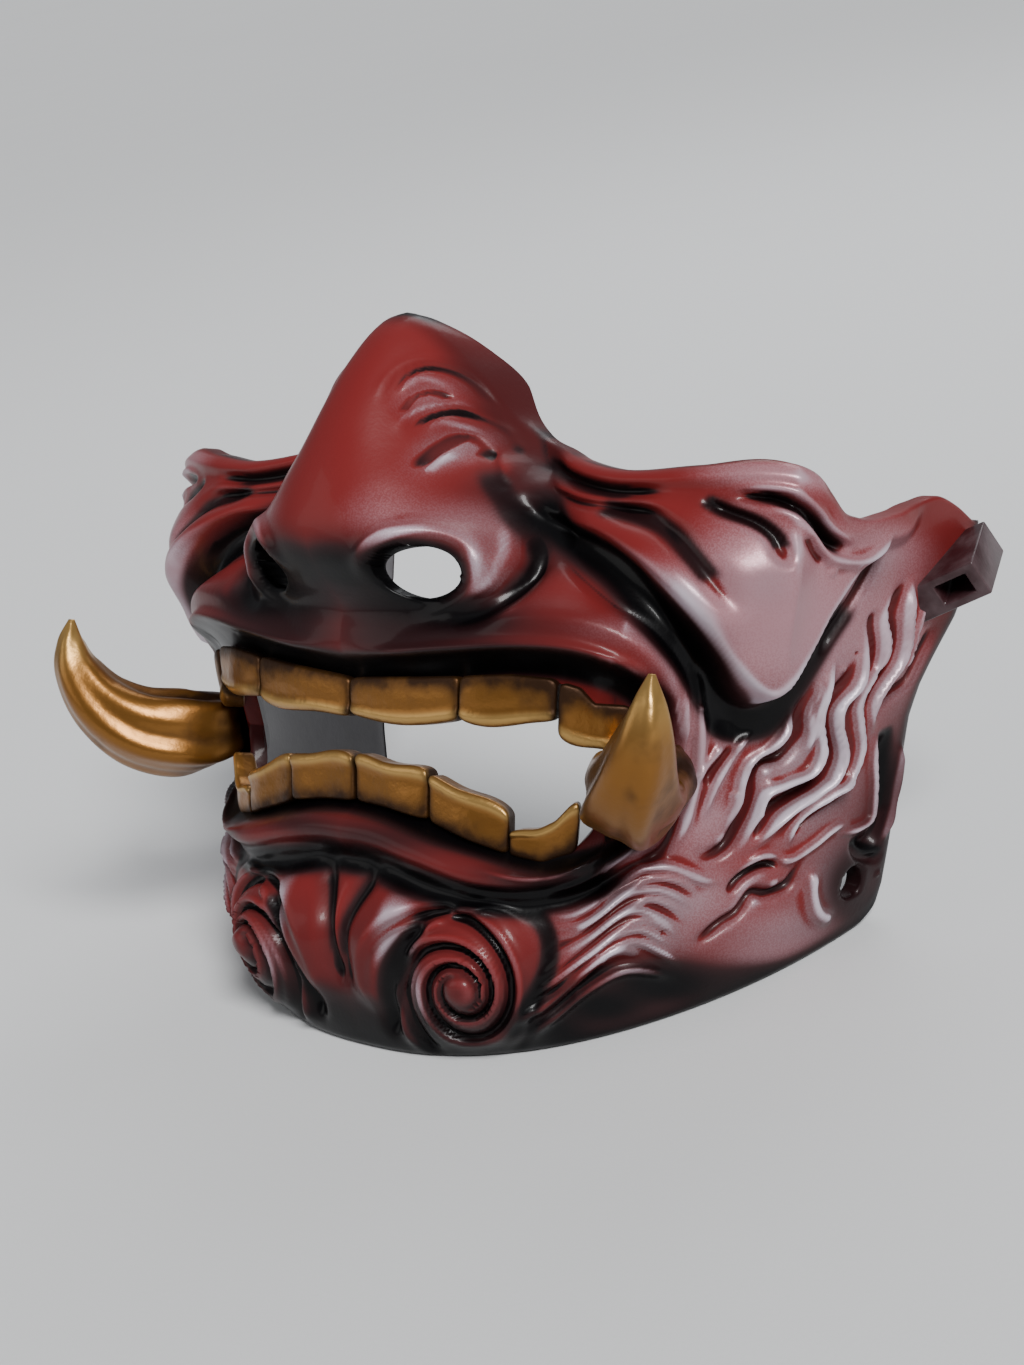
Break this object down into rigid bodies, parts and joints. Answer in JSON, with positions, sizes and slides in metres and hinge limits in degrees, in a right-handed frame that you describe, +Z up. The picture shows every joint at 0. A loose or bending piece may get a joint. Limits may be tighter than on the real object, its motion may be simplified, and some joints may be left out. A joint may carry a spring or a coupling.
{
  "type": "oni half mask",
  "caption": "Half mask for the lower face: a deep bent shell with a snarling mouth, gold teeth, forward-curving tusks, flame and spiral relief, and strap lugs at the sides.",
  "frame": {"origin": "middle of the bounding box, on the surface that the mask rests on", "axes": "+Z up, -Y the way the face looks, +X towards the wearer's left"},
  "size_m": [0.2088, 0.1318, 0.1463],
  "materials": {
    "lacquer": "deep red satin lacquer, black in the grooves, silver-violet pearl dry-brushed over the ridges",
    "tooth_gold": "old gold paint, brown shading near the gums",
    "tusk_gold": "old gold paint, brown shading along its wrinkles"
  },
  "bodies": {
    "root": {"mask_shell": "lacquer", "upper_incisor_inner_left": "tooth_gold", "upper_incisor_outer_left": "tooth_gold", "upper_side_tooth_left": "tooth_gold", "lower_incisor_inner_left": "tooth_gold", "lower_incisor_outer_left": "tooth_gold", "lower_canine_left": "tooth_gold", "upper_incisor_inner_right": "tooth_gold", "upper_incisor_outer_right": "tooth_gold", "upper_side_tooth_right": "tooth_gold", "lower_incisor_inner_right": "tooth_gold", "lower_incisor_outer_right": "tooth_gold", "lower_canine_right": "tooth_gold", "tusk_left": "tusk_gold", "tusk_right": "tusk_gold"}
  },
  "joints": []
}
